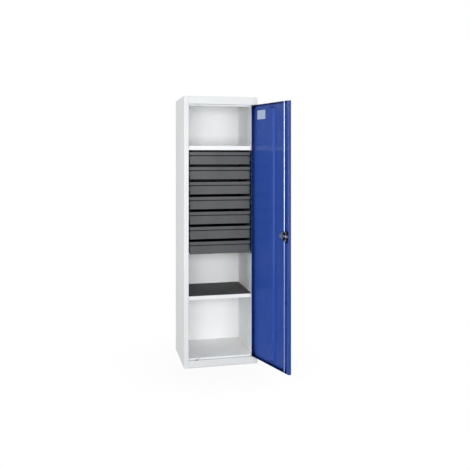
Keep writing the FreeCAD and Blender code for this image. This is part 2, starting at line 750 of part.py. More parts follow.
def build_lock_case():
    """Housing with a round recess for the cam and a rim that the bolt passes through."""
    hinge_side = lock_x + s.case_hinge_side
    lock_side = lock_x - s.case_lock_side
    low = s.lock_level - s.case_half_height
    high = s.lock_level + s.case_half_height
    body = extrusion("case_body", "XZ", rectangle(lock_side, hinge_side, low, high, s.case_corner),
                     deep(s.gauge), deep(s.case_depth))
    rim = block("case_rim_wall", (lock_side, lock_side + s.case_rim_width),
                (deep(s.case_depth), deep(s.case_depth + s.case_rim)),
                (low + s.case_corner, high - s.case_corner))
    centre = (lock_x, s.lock_level)
    recess = cylinder("cam_recess", "y", centre, s.cam_radius + s.seat_gap,
                      deep(s.case_depth - s.cam_recess), deep(s.case_depth))
    bore = cylinder("spindle_bore", "y", centre, s.spindle_radius + s.running_play, deep(ZERO),
                    deep(s.case_depth))
    half_bolt = s.bolt_height / 2 + s.seat_gap
    slot = block("case_bolt_slot", (lock_side - s.cut_past, lock_side + s.case_rim_width + s.cut_past),
                 (deep(s.case_depth), deep(plate_back) + s.seat_gap),
                 (s.lock_level - half_bolt, s.lock_level + half_bolt))
    case = carved("case_carved", fused("case_solid", [body, rim]), [recess, bore, slot])
    node("lock_case", [case], hang_on_door)
    half_guide = s.guide_height / 2
    crest = deep(s.guide_depth)
    foot_face = deep(s.gauge)
    level_low = s.lock_level - half_guide
    level_high = s.lock_level + half_guide
    path = [(foot_face, level_low - s.guide_foot), (foot_face, level_low), (crest, level_low),
            (crest, level_high), (foot_face, level_high), (foot_face, level_high + s.guide_foot)]
    bridge = folded("guide_sheet", "YZ", path, -1, lock_x + s.guide_start,
                    lock_x + s.guide_start + s.guide_length)
    node("bolt_guide", [bridge], hang_on_door)
    plate = cylinder("rosette_plate", "y", centre, s.rosette_radius, deep(-s.rosette_thickness), deep(ZERO))
    hole = cylinder("rosette_bore", "y", centre, s.spindle_radius + s.running_play,
                    deep(-s.rosette_thickness), deep(ZERO))
    node("rosette", [carved("rosette_ring", plate, [hole])], hang_on_door)


def spiral_place(angle, shift):
    """A place on the cam slot's middle line, moved outwards by shift. The radius grows with the angle,
    so equal turns of the cam give equal travel of the pin."""
    quarter = math.pi / 2
    rate = s.lock_travel.value / quarter
    radius = s.slot_start_radius.value + rate * angle
    slope = math.hypot(radius, rate)
    outward = (radius + shift * radius / slope, -shift * rate / slope)
    return outward


def spiral_slot(start_angle, depth_low, depth_high):
    """A slot of constant width along a quarter turn of the spiral, with round ends."""
    half_width = drive_slot_radius.value
    quarter = math.pi / 2
    steps = 8
    level = s.lock_level.value
    centre_x = lock_x.value

    def place(angle, shift, along=0.0):
        radial, tangential = spiral_place(angle, shift)
        rate = s.lock_travel.value / quarter
        radius = s.slot_start_radius.value + rate * angle
        slope = math.hypot(radius, rate)
        radial += along * rate / slope
        tangential += along * radius / slope
        turn = start_angle + angle
        x = centre_x + radial * math.cos(turn) - tangential * math.sin(turn)
        z = level + radial * math.sin(turn) + tangential * math.cos(turn)
        return V(x, depth_low, z)

    angles = [quarter * step / steps for step in range(steps + 1)]
    outer = Part.BSplineCurve()
    outer.interpolate([place(angle, half_width) for angle in angles])
    inner = Part.BSplineCurve()
    inner.interpolate([place(angle, -half_width) for angle in reversed(angles)])
    far_end = Part.Arc(place(quarter, half_width), place(quarter, 0.0, half_width),
                       place(quarter, -half_width))
    near_end = Part.Arc(place(0.0, -half_width), place(0.0, 0.0, -half_width), place(0.0, half_width))
    wire = Part.Wire([outer.toShape(), far_end.toShape(), inner.toShape(), near_end.toShape()])
    return Part.Face(wire).extrude(V(0, depth_high - depth_low, 0))


def build_cam():
    """Disc with three spiral slots, a quarter turn each: for the upper rod, the bolt and the lower rod."""
    low = deep(s.case_depth - s.cam_recess + s.seat_gap).value
    high = low + s.cam_thickness.value
    centre = V(lock_x.value, low, s.lock_level.value)
    disc = Part.makeCylinder(s.cam_radius.value, high - low, centre, V(0, 1, 0))
    for quarter_turns in (1, 2, 3):
        disc = disc.cut(spiral_slot(quarter_turns * math.pi / 2, low, high))
    side = s.spindle_square.value + s.running_play.value * 2
    corner = centre - V(side / 2, 0, side / 2)
    disc = disc.cut(Part.makeBox(side, high - low, side, corner))
    cam = doc.addObject("Part::Feature", "cam_disc")
    cam.Shape = disc
    node("lock_cam", [cam], hang_on_door)


def build_spindle():
    """Round through the door, square in the cam, with a headed boss that keeps the bolt on."""
    centre = (lock_x, s.lock_level)
    cam_low = deep(s.case_depth - s.cam_recess + s.seat_gap)
    cam_high = cam_low + s.cam_thickness
    half = s.spindle_square / 2
    shaft = cylinder("spindle_shaft", "y", centre, s.spindle_radius,
                     deep(-s.rosette_thickness - s.seat_gap) - s.rosette_thickness, cam_low)
    square = block("spindle_square_end", (lock_x - half, lock_x + half), (cam_low, cam_high),
                   (s.lock_level - half, s.lock_level + half))
    head_low = deep(plate_back + s.seat_gap)
    boss = cylinder("spindle_boss", "y", centre, s.boss_radius, cam_high, head_low)
    head = cylinder("spindle_head", "y", centre, s.boss_head_radius, head_low, head_low + s.gauge * 2)
    node("lock_spindle", [fused("spindle_turned", [shaft, square, boss, head])], hang_on_door)


def build_handle():
    """Lever with a round hub that holds the lock cylinder. Unlocked, it points to the hinge side."""
    centre = (lock_x, s.lock_level)
    hub_rear = deep(-s.rosette_thickness - s.seat_gap)
    hub_front = hub_rear - s.hub_height
    hub = cylinder("lever_hub", "y", centre, s.hub_radius, hub_front, hub_rear)
    root = s.lever_root_width / 2
    tip = s.lever_tip_width / 2
    tip_x = lock_x + s.lever_length
    arm_corners = [(lock_x, s.lock_level - root, None), (tip_x, s.lock_level - tip, None),
                   (tip_x, s.lock_level + tip, None), (lock_x, s.lock_level + root, None)]
    arm_rear = hub_front + s.lever_thickness
    arm = extrusion("lever_arm", "XZ", arm_corners, hub_front, arm_rear)
    tip_end = cylinder("lever_tip", "y", (tip_x, s.lock_level), tip, hub_front, arm_rear)
    lever = fused("lever_solid", [hub, arm, tip_end])
    doc.recompute()
    rounded = doc.addObject("Part::Fillet", "lever_rounded")
    rounded.Base = lever
    picked = []
    for number, edge in enumerate(lever.Shape.Edges, start=1):
        if abs(edge.BoundBox.YMax - hub_front.value) < 0.01:
            picked.append((number, s.lever_edge.value, s.lever_edge.value))
    rounded.Edges = picked
    cylinder_bore = cylinder("cylinder_bore", "y", centre, s.cylinder_radius + s.running_play,
                             hub_front - s.cut_past, hub_front + s.cylinder_length + s.seat_gap)
    spindle_bore = cylinder("handle_spindle_bore", "y", centre, s.spindle_radius + s.running_play,
                            hub_rear - s.rosette_thickness, hub_rear + s.cut_past)
    node("turn_handle", [carved("lever_bored", rounded, [cylinder_bore, spindle_bore])], hang_on_door)
    plug = cylinder("plug_solid", "y", centre, s.cylinder_radius, hub_front,
                    hub_front + s.cylinder_length)
    keyway = block("keyway", (lock_x - s.keyway_width / 2, lock_x + s.keyway_width / 2),
                   (hub_front - s.cut_past, hub_front + s.keyway_depth),
                   (s.lock_level - s.keyway_height / 2, s.lock_level + s.keyway_height / 2))
    node("lock_cylinder", [carved("plug_cut", plug, [keyway])], hang_on_door)


def drive_pin(name, place_x, place_z):
    """The pin that a spiral slot pushes."""
    low = deep(s.case_depth - s.cam_recess + s.seat_gap * 2)
    return cylinder(name, "y", (place_x, place_z), s.drive_pin_radius, low, deep(plate_front))


def build_rods():
    """Round rods to the head and the foot of the door, each with a plate foot over the cam."""
    half_foot = s.foot_width / 2
    for label, toward in (("upper_rod", 1), ("lower_rod", -1)):
        pin_z = s.lock_level + s.slot_start_radius * toward
        rod_start = s.lock_level + s.rod_end_level * toward
        rod_stop = door_top if toward > 0 else door_bottom
        low, high = (rod_start, rod_stop) if toward > 0 else (rod_stop, rod_start)
        bar = cylinder(f"{label}_bar", "z", (rod_x, rod_y), s.rod_radius, low, high)
        leg_z = span(pin_z - half_foot * toward, s.rod_end_level - s.slot_start_radius + half_foot
                     + s.foot_height, toward)
        plate_y = (deep(plate_front), deep(plate_back))
        leg = block(f"{label}_leg", (lock_x - half_foot, lock_x + half_foot), plate_y, leg_z)
        arm = block(f"{label}_arm", (lock_x - half_foot, rod_x + s.rod_radius), plate_y,
                    span(rod_start, s.foot_height, toward))
        pin = drive_pin(f"{label}_pin", lock_x, pin_z)
        node(label, [fused(f"{label}_welded", [bar, leg, arm, pin])], hang_on_door)


def build_bolt():
    """Flat bolt that slides over the spindle boss, through the rim and the edge of the door."""
    half = s.bolt_height / 2
    tip = free_edge + s.seat_gap
    tail = lock_x + s.bolt_tail
    plate_y = (deep(plate_front), deep(plate_back))
    bar = block("bolt_bar", (tip, tail), plate_y, (s.lock_level - half, s.lock_level + half))
    pin = drive_pin("bolt_pin", lock_x - s.slot_start_radius, s.lock_level)
    reach = s.boss_radius + s.seat_gap
    slot_corners = rectangle(lock_x - reach, lock_x + s.lock_travel + reach, s.lock_level - reach,
                             s.lock_level + reach, reach - s.running_play)
    slot = extrusion("boss_slot", "XZ", slot_corners, deep(plate_front) - s.cut_past,
                     deep(plate_back) + s.cut_past)
    node("latch_bolt", [carved("bolt_slotted", fused("bolt_solid", [bar, pin]), [slot])], hang_on_door)


def fixed_rail(name, wall, toward, level):
    """Channel on the carcass with two riveted studs that carry the glides."""
    half = s.rail_height / 2
    edge = wall + s.rail_flange * toward
    path = [(edge, level + half), (wall, level + half), (wall, level - half), (edge, level - half)]
    rail = folded(f"{name}_channel", "XZ", path, toward, rail_front, rail_back,
                  gauge=s.runner_gauge, bend=s.runner_bend)
    pin_length = s.glide_stand_off + s.glide_width + s.glide_pin_end
    pins = [cylinder(f"{name}_pin_{number}", "x", (place, level), s.glide_pin_radius,
                     *span(wall, pin_length, toward))
            for number, place in enumerate(glide_places, start=1)]
    return fused(f"{name}_riveted", [rail] + pins)


def glide(name, wall, toward, place, level):
    """A moulded slide with rounded ends, pressed on its stud."""
    half_length = s.glide_length / 2
    half_height = s.glide_height / 2
    low, high = span(wall + s.glide_stand_off * toward, s.glide_width, toward)
    corners = rectangle(place - half_length, place + half_length, level - half_height,
                        level + half_height, s.glide_corner)
    body = extrusion(f"{name}_body", "YZ", corners, low, high)
    bore = cylinder(f"{name}_bore", "x", (place, level), s.glide_pin_radius + s.running_play, low, high)
    return carved(name, body, [bore])


def moving_channel(name, tray_side, toward):
    """Channel on the tray that rides on the glides. Its closed tail meets the second glide."""
    half = s.glide_height / 2 + s.seat_gap + s.runner_gauge
    edge = tray_side - s.channel_flange * toward
    level = s.runner_level
    path = [(edge, level + half), (tray_side, level + half), (tray_side, level - half),
            (edge, level - half)]
    channel = folded(f"{name}_channel", "XZ", path, -toward, tray_front, channel_back,
                     gauge=s.runner_gauge, bend=s.runner_bend)
    tail = block(f"{name}_tail", span(edge, s.channel_flange, toward),
                 (channel_back - s.runner_gauge, channel_back),
                 (level - half + s.runner_gauge, level + half - s.runner_gauge))
    return fused(name, [channel, tail])


# Runner lengths follow the tray.
channel_back = tray_back - s.channel_tail_gap
rail_front = tray_front - s.gauge
rail_back = tray_back - s.rail_overlap
first_glide = tray_front + s.glide_front_gap + s.glide_length / 2
glide_places = (first_glide, first_glide + s.glide_spacing)


def build_runners():
    sides = (("left", liner_left, 1), ("right", post_face, -1))
    glides = []
    for side, wall, toward in sides:
        rails = []
        for index in range(DRAWER_COUNT):
            level = s.drawer_base + s.runner_level + s.drawer_pitch * index
            rails.append(fixed_rail(f"{side}_rail_{index + 1}", wall, toward, level))
            for number, place in enumerate(glide_places, start=1):
                glides.append(glide(f"{side}_glide_{index + 1}_{number}", wall, toward, place, level))
        node(f"{side}_fixed_rails", rails)
    node("runner_glides", glides)
    posts = []
    starts = (front + s.post_inset, tray_back - s.rear_post_inset)
    for number, start in enumerate(starts, start=1):
        end = start + s.post_width
        path = [(liner_right, start), (post_face, start), (post_face, end), (liner_right, end)]
        posts.append(folded(f"post_{number}", "XY", path, -1, s.drawer_base,
                            s.drawer_base + s.drawer_pitch * DRAWER_COUNT))
    node("packing_posts", posts)


def drawer_tray():
    """Open box with one thickness of sheet all round."""
    low = s.tray_lift
    high = s.tray_lift + s.tray_height
    outer = block("tray_outside", (tray_left, tray_right), (tray_front, tray_back), (low, high))
    inner = block("tray_inside", (tray_left + s.gauge, tray_right - s.gauge),
                  (tray_front + s.gauge, tray_back - s.gauge), (low + s.gauge, high + s.cut_past))
    return carved("tray", outer, [inner])


def drawer_front():
    """Face panel below, a shadow groove, and a wider grip band above that stands proud."""
    face_y = front + s.face_inset
    groove_y = front + s.groove_inset
    band_y = front + s.band_inset
    low = s.drawer_gap / 2
    groove_low = low + s.face_height
    groove_high = groove_low + s.groove_height
    high = s.drawer_pitch - s.drawer_gap / 2
    face_left = band_left + s.face_shortening
    face_right = band_right - s.face_shortening
    face_path = [(tray_front, low), (face_y, low), (face_y, groove_low), (groove_y, groove_low),
                 (groove_y, groove_high)]
    band_path = [(tray_front, groove_high), (band_y, groove_high), (band_y, high), (tray_front, high),
                 (tray_front, high - s.band_hem)]
    face = folded("face_sheet", "YZ", face_path, -1, face_left, face_right, bend=s.front_bend)
    band = folded("band_sheet", "YZ", band_path, -1, band_left, band_right, bend=s.front_bend)
    caps = []
    for side, face_end, band_end, toward in (("left", face_left, band_left, 1),
                                             ("right", face_right, band_right, -1)):
        caps.append(block(f"face_cap_{side}", span(face_end, s.gauge, toward),
                          (face_y + s.gauge, tray_front), (low + s.gauge, groove_low - s.gauge)))
        caps.append(block(f"band_cap_{side}", span(band_end, s.gauge, toward),
                          (band_y + s.gauge, tray_front), (groove_high + s.gauge, high - s.gauge)))
    return fused("front", [face, band] + caps)


def build_drawers():
    tray = drawer_tray()
    face = drawer_front()
    channels = [moving_channel("left_moving", tray_left, 1), moving_channel("right_moving", tray_right, -1)]
    for index in range(DRAWER_COUNT):
        level = s.drawer_base + s.drawer_pitch * index

        def lift(piece, level=level):
            bind(piece, "Placement.Base.z", level)

        number = index + 1
        node(f"drawer_{number}_tray", [tray], lift)
        node(f"drawer_{number}_front", [face], lift)
        node(f"drawer_{number}_runners", channels, lift)


def check_document():
    """No object may have failed, and each piece must be made of valid solids."""
    for thing in doc.Objects:
        if "Invalid" in thing.State or "Error" in thing.State:
            raise RuntimeError(f"{thing.Label} failed: {thing.State}")
    for piece in nodes:
        shape = piece.Shape
        if shape.isNull() or not shape.isValid() or not shape.Solids:
            raise RuntimeError(f"{piece.Label} has no valid solid")


def write_pieces():
    os.makedirs("parts", exist_ok=True)
    for piece in nodes:
        solids = piece.Shape.Solids
        shape = solids[0] if len(solids) == 1 else Part.makeCompound(solids)
        shape.exportStep(f"parts/{piece.Label}.step")
        print(f"{piece.Label}: {len(solids)} solids, {shape.Volume:.0f} mm3")


build_side_panels()
build_back_panel()
build_top_panel()
build_base()
build_liners()
build_shelves()
build_hinge()
build_buffers()
build_door_panel()
build_door_fittings()
build_lock_case()
build_cam()
build_spindle()
build_handle()
build_rods()
build_bolt()
build_runners()
build_drawers()
doc.recompute()
check_document()
write_pieces()
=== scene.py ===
import math

import bmesh
import bpy
from mathutils import Matrix, Vector


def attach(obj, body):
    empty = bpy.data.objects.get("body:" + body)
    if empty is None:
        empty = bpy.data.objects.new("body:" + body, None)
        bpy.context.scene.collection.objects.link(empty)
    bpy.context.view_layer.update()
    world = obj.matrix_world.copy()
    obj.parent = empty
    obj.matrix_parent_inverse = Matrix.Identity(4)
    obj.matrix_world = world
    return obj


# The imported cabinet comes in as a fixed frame. This script adds the camera, the light, the floor, the
# small fittings and a procedural finish for every piece. All lengths are in metres.

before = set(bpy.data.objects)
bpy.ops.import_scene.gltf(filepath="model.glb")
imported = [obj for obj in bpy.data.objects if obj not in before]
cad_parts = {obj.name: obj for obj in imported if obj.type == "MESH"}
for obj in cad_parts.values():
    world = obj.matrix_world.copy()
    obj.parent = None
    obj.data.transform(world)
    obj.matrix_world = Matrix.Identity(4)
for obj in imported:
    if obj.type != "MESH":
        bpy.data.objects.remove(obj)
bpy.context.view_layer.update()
scene = bpy.context.scene

# What the solids measure, where the fittings and finishes need it
DRAWERS = range(1, 8)
DRAWER_BASE = 0.738
DRAWER_PITCH = 0.1
RUNNER_LEVEL = 0.047
TRAY_LEFT_FACE = -0.2020
TRAY_RIGHT_FACE = 0.197462
POST_FACE = 0.213462
BACK_FACE = 0.2250
LOCK_LEVEL = 0.900
PLATE_HALF_HEIGHT = 0.0315
PIVOT_INSET = 0.0045
PIVOT = Vector((0.225, -0.220, 0.0))
DOOR_ANGLE = math.radians(107)
DOOR_TO_ROOM = Matrix.Translation(PIVOT) @ Matrix.Rotation(DOOR_ANGLE, 4, "Z")
DOOR_IN = DOOR_TO_ROOM.to_3x3() @ Vector((0, 1, 0))

# How deep these faces lie behind the door's outer face
LABEL_FACE = 0.0018
FOOT_FACE = 0.0020
CASE_FACE = 0.0105

# The levels over which the walls pass into the deeper painted shade behind the drawers, at the stack's foot
# and at its head
STACK_FOOT = (0.744, 0.752)
STACK_HEAD = (1.466, 1.458)

# The floor under the cabinet, as half widths along X and Y just inside its outline, and the distances from
# its middle over which the floor around it fades to white
COVERED = (("X", 0.249), ("Y", 0.224))
FADE = (0.35, 0.85)


def on_door(across, deep, level):
    """A place on the open door: across from the hinge edge, deep from the outer face, and its level."""
    return DOOR_TO_ROOM @ Vector((PIVOT_INSET - across, deep - PIVOT_INSET, level))


# ---- Shader building blocks

class Shade:
    """A material's node tree, with short calls for the nodes that the finishes share. Textures follow the
    piece's own coordinates, in metres."""

    def __init__(self, name):
        self.material = bpy.data.materials.new(name)
        self.material.use_nodes = True
        self.nodes = self.material.node_tree.nodes
        self.links = self.material.node_tree.links
        self.nodes.clear()
        self.place = self.nodes.new("ShaderNodeTexCoord").outputs["Object"]

    def add(self, kind, inputs=None, **settings):
        node = self.nodes.new(kind)
        for name, value in settings.items():
            setattr(node, name, value)
        for name, value in (inputs or {}).items():
            self.put(node.inputs[name], value)
        return node

    def put(self, socket, value):
        if isinstance(value, bpy.types.NodeSocket):
            self.links.new(value, socket)
        else:
            socket.default_value = value

    def stretched(self, x, y, z):
        mapping = self.add("ShaderNodeMapping", {"Vector": self.place, "Scale": (x, y, z)})
        return mapping.outputs["Vector"]

    def noise(self, scale, detail=2.0, roughness=0.5, vector=None):
        node = self.add("ShaderNodeTexNoise", {"Vector": vector or self.place, "Scale": scale,
                                               "Detail": detail, "Roughness": roughness})
        return node.outputs["Fac"]

    def ramp(self, value, low, high, low_out=0.0, high_out=1.0):
        """Passes evenly from low_out to high_out while the value goes from low to high."""
        node = self.add("ShaderNodeMapRange", {"Value": value, "From Min": low, "From Max": high,
                                               "To Min": low_out, "To Max": high_out}, clamp=True)
        return node.outputs["Result"]

    def maths(self, first, operation, second=0.0):
        node = self.add("ShaderNodeMath", {0: first, 1: second}, operation=operation)
        return node.outputs["Value"]

    def seen(self):
        """1 for what the camera sees straight on, in a mirror or through glass."""
        rays = self.add("ShaderNodeLightPath").outputs
        mirrored = self.maths(rays["Is Glossy Ray"], "MAXIMUM", rays["Is Transmission Ray"])
        return self.maths(rays["Is Camera Ray"], "MAXIMUM", mirrored)

    def axis(self, letter):
        return self.add("ShaderNodeSeparateXYZ", {"Vector": self.place}).outputs[letter]

    def mix(self, factor, first, second):
        node = self.add("ShaderNodeMix", data_type="RGBA")
        self.put(node.inputs[0], factor)
        self.put(node.inputs[6], first)
        self.put(node.inputs[7], second)
        return node.outputs[2]

    def edges(self, radius):
        """The normal with its edges rounded, and a value near 1 on a sharp edge and 0 on a flat, from how
        far that normal leans away."""
        rounded = self.add("ShaderNodeBevel", {"Radius": radius}, samples=4).outputs["Normal"]
        flat = self.add("ShaderNodeNewGeometry").outputs["True Normal"]
        lean = self.add("ShaderNodeVectorMath", {0: rounded, 1: flat}, operation="DOT_PRODUCT")
        return rounded, self.ramp(lean.outputs["Value"], 1.0, 0.75)

    def nooks(self, reach, shut=0.35, clear=0.8):
        """1 where the open share within reach is at most shut, and 0 from the share clear upwards."""
        open_share = self.add("ShaderNodeAmbientOcclusion", {"Distance": reach}, samples=10).outputs["AO"]
        return self.ramp(open_share, shut, clear, 1.0, 0.0)

    def bump(self, height, strength, distance, normal=None):
        inputs = {"Height": height, "Strength": strength, "Distance": distance}
        if normal is not None:
            inputs["Normal"] = normal
        return self.add("ShaderNodeBump", inputs).outputs["Normal"]

    def finish(self, **sockets):
        """Ends the tree with one shader. Its sockets are named with _ for a space."""
        shader = self.add("ShaderNodeBsdfPrincipled")
        for name, value in sockets.items():
            self.put(shader.inputs[name.replace("_", " ")], value)
        output = self.add("ShaderNodeOutputMaterial")
        self.links.new(shader.outputs["BSDF"], output.inputs["Surface"])
        return self.material


def rgb(red, green, blue):
    return (red, green, blue, 1.0)


def scaled(colour, factor):
    return rgb(*(min(1.0, part * factor) for part in colour[:3]))


# ---- Finishes

# How a streaky noise is stretched for steel that is drawn along an axis, or polished without a direction
ALONG_Z = (1.0, 1.0, 0.03)
ALONG_ROD = (1.0, 1.0, 0.012)
ALONG_RAIL = (1.0, 0.03, 1.0)
ALL_WAYS = (1.0, 1.0, 1.0)
RIB_PITCH = 0.004
FOOT_GREY = rgb(0.15, 0.17, 0.20)

# The share of a colour that is left under painted shade in the folds of a sheet, and on small parts where
# they are shut in
FOLD_SHADE_SHARE = 0.12
SHUT_IN_SHADE_SHARE = 0.02


def shut_in_shade(shade, painted_shade):
    """How much painted shade a small part gets where little is open within 0.1 m of it."""
    return shade.maths(shade.nooks(0.1, 0.3, 0.7), "MULTIPLY", painted_shade)


def powder_coat(name, colour, roughness=0.42, variation=0.05, scuff=None, wave=0.0, peel=0.35, painted_shade=0.0,
                shine=0.5, reach=0.03, shares=(0.35, 0.8), stack=None, coat=0.0, dulled=None):
    """Stoved powder coat: faint cloudiness, orange peel, paler edges, painted shade in folds and nooks, and
    scuffs low down.

    The painted-shade strength is how much of the colour goes to painted shade where the open share within
    reach is small, and shares holds the shares where that begins and ends; the painted shade also takes
    shine and coat away. stack gives other shares behind the drawers, for a deeper painted shade there. coat
    is a smooth, glossy skin that mirrors faintly, and dulled holds the two levels between which the coat's
    gloss is taken away, from the upper one down, as painted shade for light that falls off low on the door."""
    shade = Shade(name)
    cloud = shade.noise(2.6, 4.0, 0.6)
    grain = shade.noise(260.0, 2.0, 0.6)
    base = shade.mix(shade.ramp(cloud, 0.3, 0.7), scaled(colour, 1 - variation),
                     scaled(colour, 1 + variation))
    base = shade.mix(shade.ramp(grain, 0.35, 0.65, 0.0, 0.25), base, scaled(colour, 1 - variation * 1.5))
    rounded, edge = shade.edges(0.0009)
    base = shade.mix(shade.maths(edge, "MULTIPLY", 0.22), base, scaled(colour, 1.35))
    if scuff is not None:
        low = shade.ramp(shade.axis("Z"), 0.0, 0.09, 1.0, 0.0)
        marks = shade.noise(26.0, 4.0, 0.6, shade.stretched(1.0, 1.0, 2.0))
        dirt = shade.maths(low, "MULTIPLY", shade.ramp(marks, 0.45, 0.8, 0.0, 0.22))
        base = shade.mix(dirt, base, scuff)
    if painted_shade:
        # Behind the drawers the painted shade reaches further, so walls seen through the gaps go black
        if stack is not None:
            over_foot = shade.ramp(shade.axis("Z"), *STACK_FOOT)
            under_head = shade.ramp(shade.axis("Z"), *STACK_HEAD)
            behind = shade.maths(over_foot, "MULTIPLY", under_head)
            shares = [shade.ramp(behind, 0.0, 1.0, *pair) for pair in zip(shares, stack)]
        # Painted shade: where little is open, the colour goes towards its shaded share and shine and coat
        # are taken away
        painted_shade_amount = shade.maths(shade.nooks(reach, *shares), "MULTIPLY", painted_shade)
        base = shade.mix(painted_shade_amount, base, scaled(colour, FOLD_SHADE_SHARE))
        coat = shade.ramp(painted_shade_amount, 0.0, 1.0, coat, 0.0)
        shine = shade.ramp(painted_shade_amount, 0.0, 1.0, shine, 0.0)
    # Painted shade: below the upper level the coat's gloss is taken away, for light that falls off low down
    if dulled is not None:
        coat = shade.maths(coat, "MULTIPLY", shade.ramp(shade.axis("Z"), *dulled, 0.08, 1.0))
    smudge = shade.noise(9.0, 5.0, 0.65, shade.stretched(1.0, 1.0, 0.35))
    rough = shade.ramp(smudge, 0.3, 0.7, roughness - 0.05, roughness + 0.07)
    normal = shade.bump(shade.noise(620.0, 1.5, 0.5), peel, 0.00012, rounded)
    if wave:
        buckle = shade.noise(2.1, 1.0, 0.4, shade.stretched(1.0, 1.0, 0.45))
        normal = shade.bump(buckle, wave, 0.004, normal)
    return shade.finish(Base_Color=base, Roughness=rough, Normal=normal, IOR=1.5, Specular_IOR_Level=shine,
                        Coat_Weight=coat, Coat_Roughness=0.07)


def plated(name, colour, roughness=0.28, brush=ALONG_Z, tint=rgb(0.62, 0.66, 0.72), foot=None, painted_shade=0.0):
    """Zinc or nickel on steel, drawn along one direction, with faint cloudy passivation in the given tint.
    What lies within foot of the lock's level is coloured a darker grey, and the painted-shade strength
    paints shade on what lies shut in."""
    shade = Shade(name)
    streak = shade.noise(900.0, 3.0, 0.6, shade.stretched(*brush))
    cloud = shade.noise(22.0, 4.0, 0.6)
    base = shade.mix(shade.ramp(cloud, 0.35, 0.7, 0.0, 0.6), colour, tint)
    base = shade.mix(shade.ramp(streak, 0.3, 0.7, 0.0, 0.22), base, scaled(colour, 0.82))
    rounded, edge = shade.edges(0.0006)
    base = shade.mix(shade.maths(edge, "MULTIPLY", 0.35), base, scaled(colour, 1.2))
    rough = shade.ramp(streak, 0.25, 0.75, roughness - 0.06, roughness + 0.12)
    if foot is not None:
        from_lock = shade.maths(shade.maths(shade.axis("Z"), "SUBTRACT", LOCK_LEVEL), "ABSOLUTE")
        plate = shade.ramp(from_lock, foot, foot + 0.001, 1.0, 0.0)
        base = shade.mix(plate, base, FOOT_GREY)
        rough = shade.maths(rough, "ADD", shade.maths(plate, "MULTIPLY", 0.15))
    if painted_shade:
        # Painted shade on what lies shut in
        base = shade.mix(shut_in_shade(shade, painted_shade), base, scaled(colour, SHUT_IN_SHADE_SHARE))
    normal = shade.bump(streak, 0.2, 0.00003, rounded)
    return shade.finish(Base_Color=base, Metallic=1.0, Roughness=rough, Normal=normal)


def moulded(name, colour, roughness=0.5, grain=900.0, variation=0.12, shine=0.5, painted_shade=0.0):
    """Injection-moulded plastic with a spark-eroded grain and handled, smoother patches. The painted-shade
    strength paints shade on what lies shut in."""
    shade = Shade(name)
    cloud = shade.noise(14.0, 3.0, 0.6)
    base = shade.mix(shade.ramp(cloud, 0.3, 0.7), scaled(colour, 1 - variation),
                     scaled(colour, 1 + variation))
    rounded, edge = shade.edges(0.0007)
    base = shade.mix(shade.maths(edge, "MULTIPLY", 0.3), base, scaled(colour, 2.2))
    if painted_shade:
        # Painted shade on what lies shut in
        base = shade.mix(shut_in_shade(shade, painted_shade), base, scaled(colour, SHUT_IN_SHADE_SHARE))
    rough = shade.ramp(cloud, 0.3, 0.75, roughness - 0.08, roughness + 0.08)
    normal = shade.bump(shade.noise(grain, 2.0, 0.6), 0.4, 0.0001, rounded)
    return shade.finish(Base_Color=base, Roughness=rough, Normal=normal, Specular_IOR_Level=shine)


def ribbed_rubber(name, colour):
    """Cut-to-size mat with fine ribs that run from front to back, darker between the ribs, and pale dust
    specks.
    """
    shade = Shade(name)
    rib = shade.maths(shade.maths(shade.axis("X"), "MULTIPLY", 2 * math.pi / RIB_PITCH), "SINE")
    worn = shade.noise(11.0, 5.0, 0.65)
    base = shade.mix(shade.ramp(worn, 0.35, 0.7), scaled(colour, 0.8), scaled(colour, 1.35))
    # Darker between the ribs
    base = shade.mix(shade.ramp(rib, -1.0, 0.2, 0.5, 0.0), base, scaled(colour, 0.55))
    speck = shade.noise(700.0, 3.0, 0.7)
    base = shade.mix(shade.ramp(speck, 0.62, 0.72, 0.0, 0.35), base, scaled(colour, 3.0))
    rough = shade.ramp(worn, 0.3, 0.7, 0.62, 0.85)
    normal = shade.bump(rib, 0.7, 0.0006)
    normal = shade.bump(speck, 0.3, 0.0001, normal)
    return shade.finish(Base_Color=base, Roughness=rough, Normal=normal)


def bare_label(name, colour):
    """Matt film with an empty pale field and a darker rim."""
    shade = Shade(name)
    fibres = shade.noise(160.0, 5.0, 0.7)
    base = shade.mix(shade.ramp(fibres, 0.3, 0.7), scaled(colour, 0.93), scaled(colour, 1.05))
    rounded, edge = shade.edges(0.0012)
    base = shade.mix(shade.maths(edge, "MULTIPLY", 0.5), base, scaled(colour, 0.6))
    rough = shade.ramp(shade.noise(24.0, 3.0, 0.6), 0.3, 0.7, 0.3, 0.45)
    normal = shade.bump(fibres, 0.15, 0.00008, rounded)
    return shade.finish(Base_Color=base, Roughness=rough, Normal=normal)


LIGHT_GREY = rgb(0.80, 0.815, 0.81)
INNER_GREY = rgb(0.915, 0.925, 0.925)
SHELF_WHITE = rgb(0.93, 0.93, 0.92)
BLUE = rgb(0.025, 0.073, 0.36)
ANTHRACITE = rgb(0.0425, 0.044, 0.047)
DUST = rgb(0.52, 0.51, 0.48)
BLUE_SCUFF = rgb(0.04, 0.07, 0.19)

carcass_paint = powder_coat("carcass_paint", LIGHT_GREY, 0.45, 0.02, scuff=DUST, wave=0.05)
inner_paint = powder_coat("inner_paint", INNER_GREY, 0.45, 0.025)
# Painted shade: the inner walls go dark in deep nooks and black behind the drawers
wall_paint = powder_coat("wall_paint", INNER_GREY, 0.45, 0.025, painted_shade=0.97, reach=0.3, shares=(0.02, 0.12),
                         stack=(0.25, 0.55))
shelf_paint = powder_coat("shelf_paint", SHELF_WHITE, 0.42, 0.02)
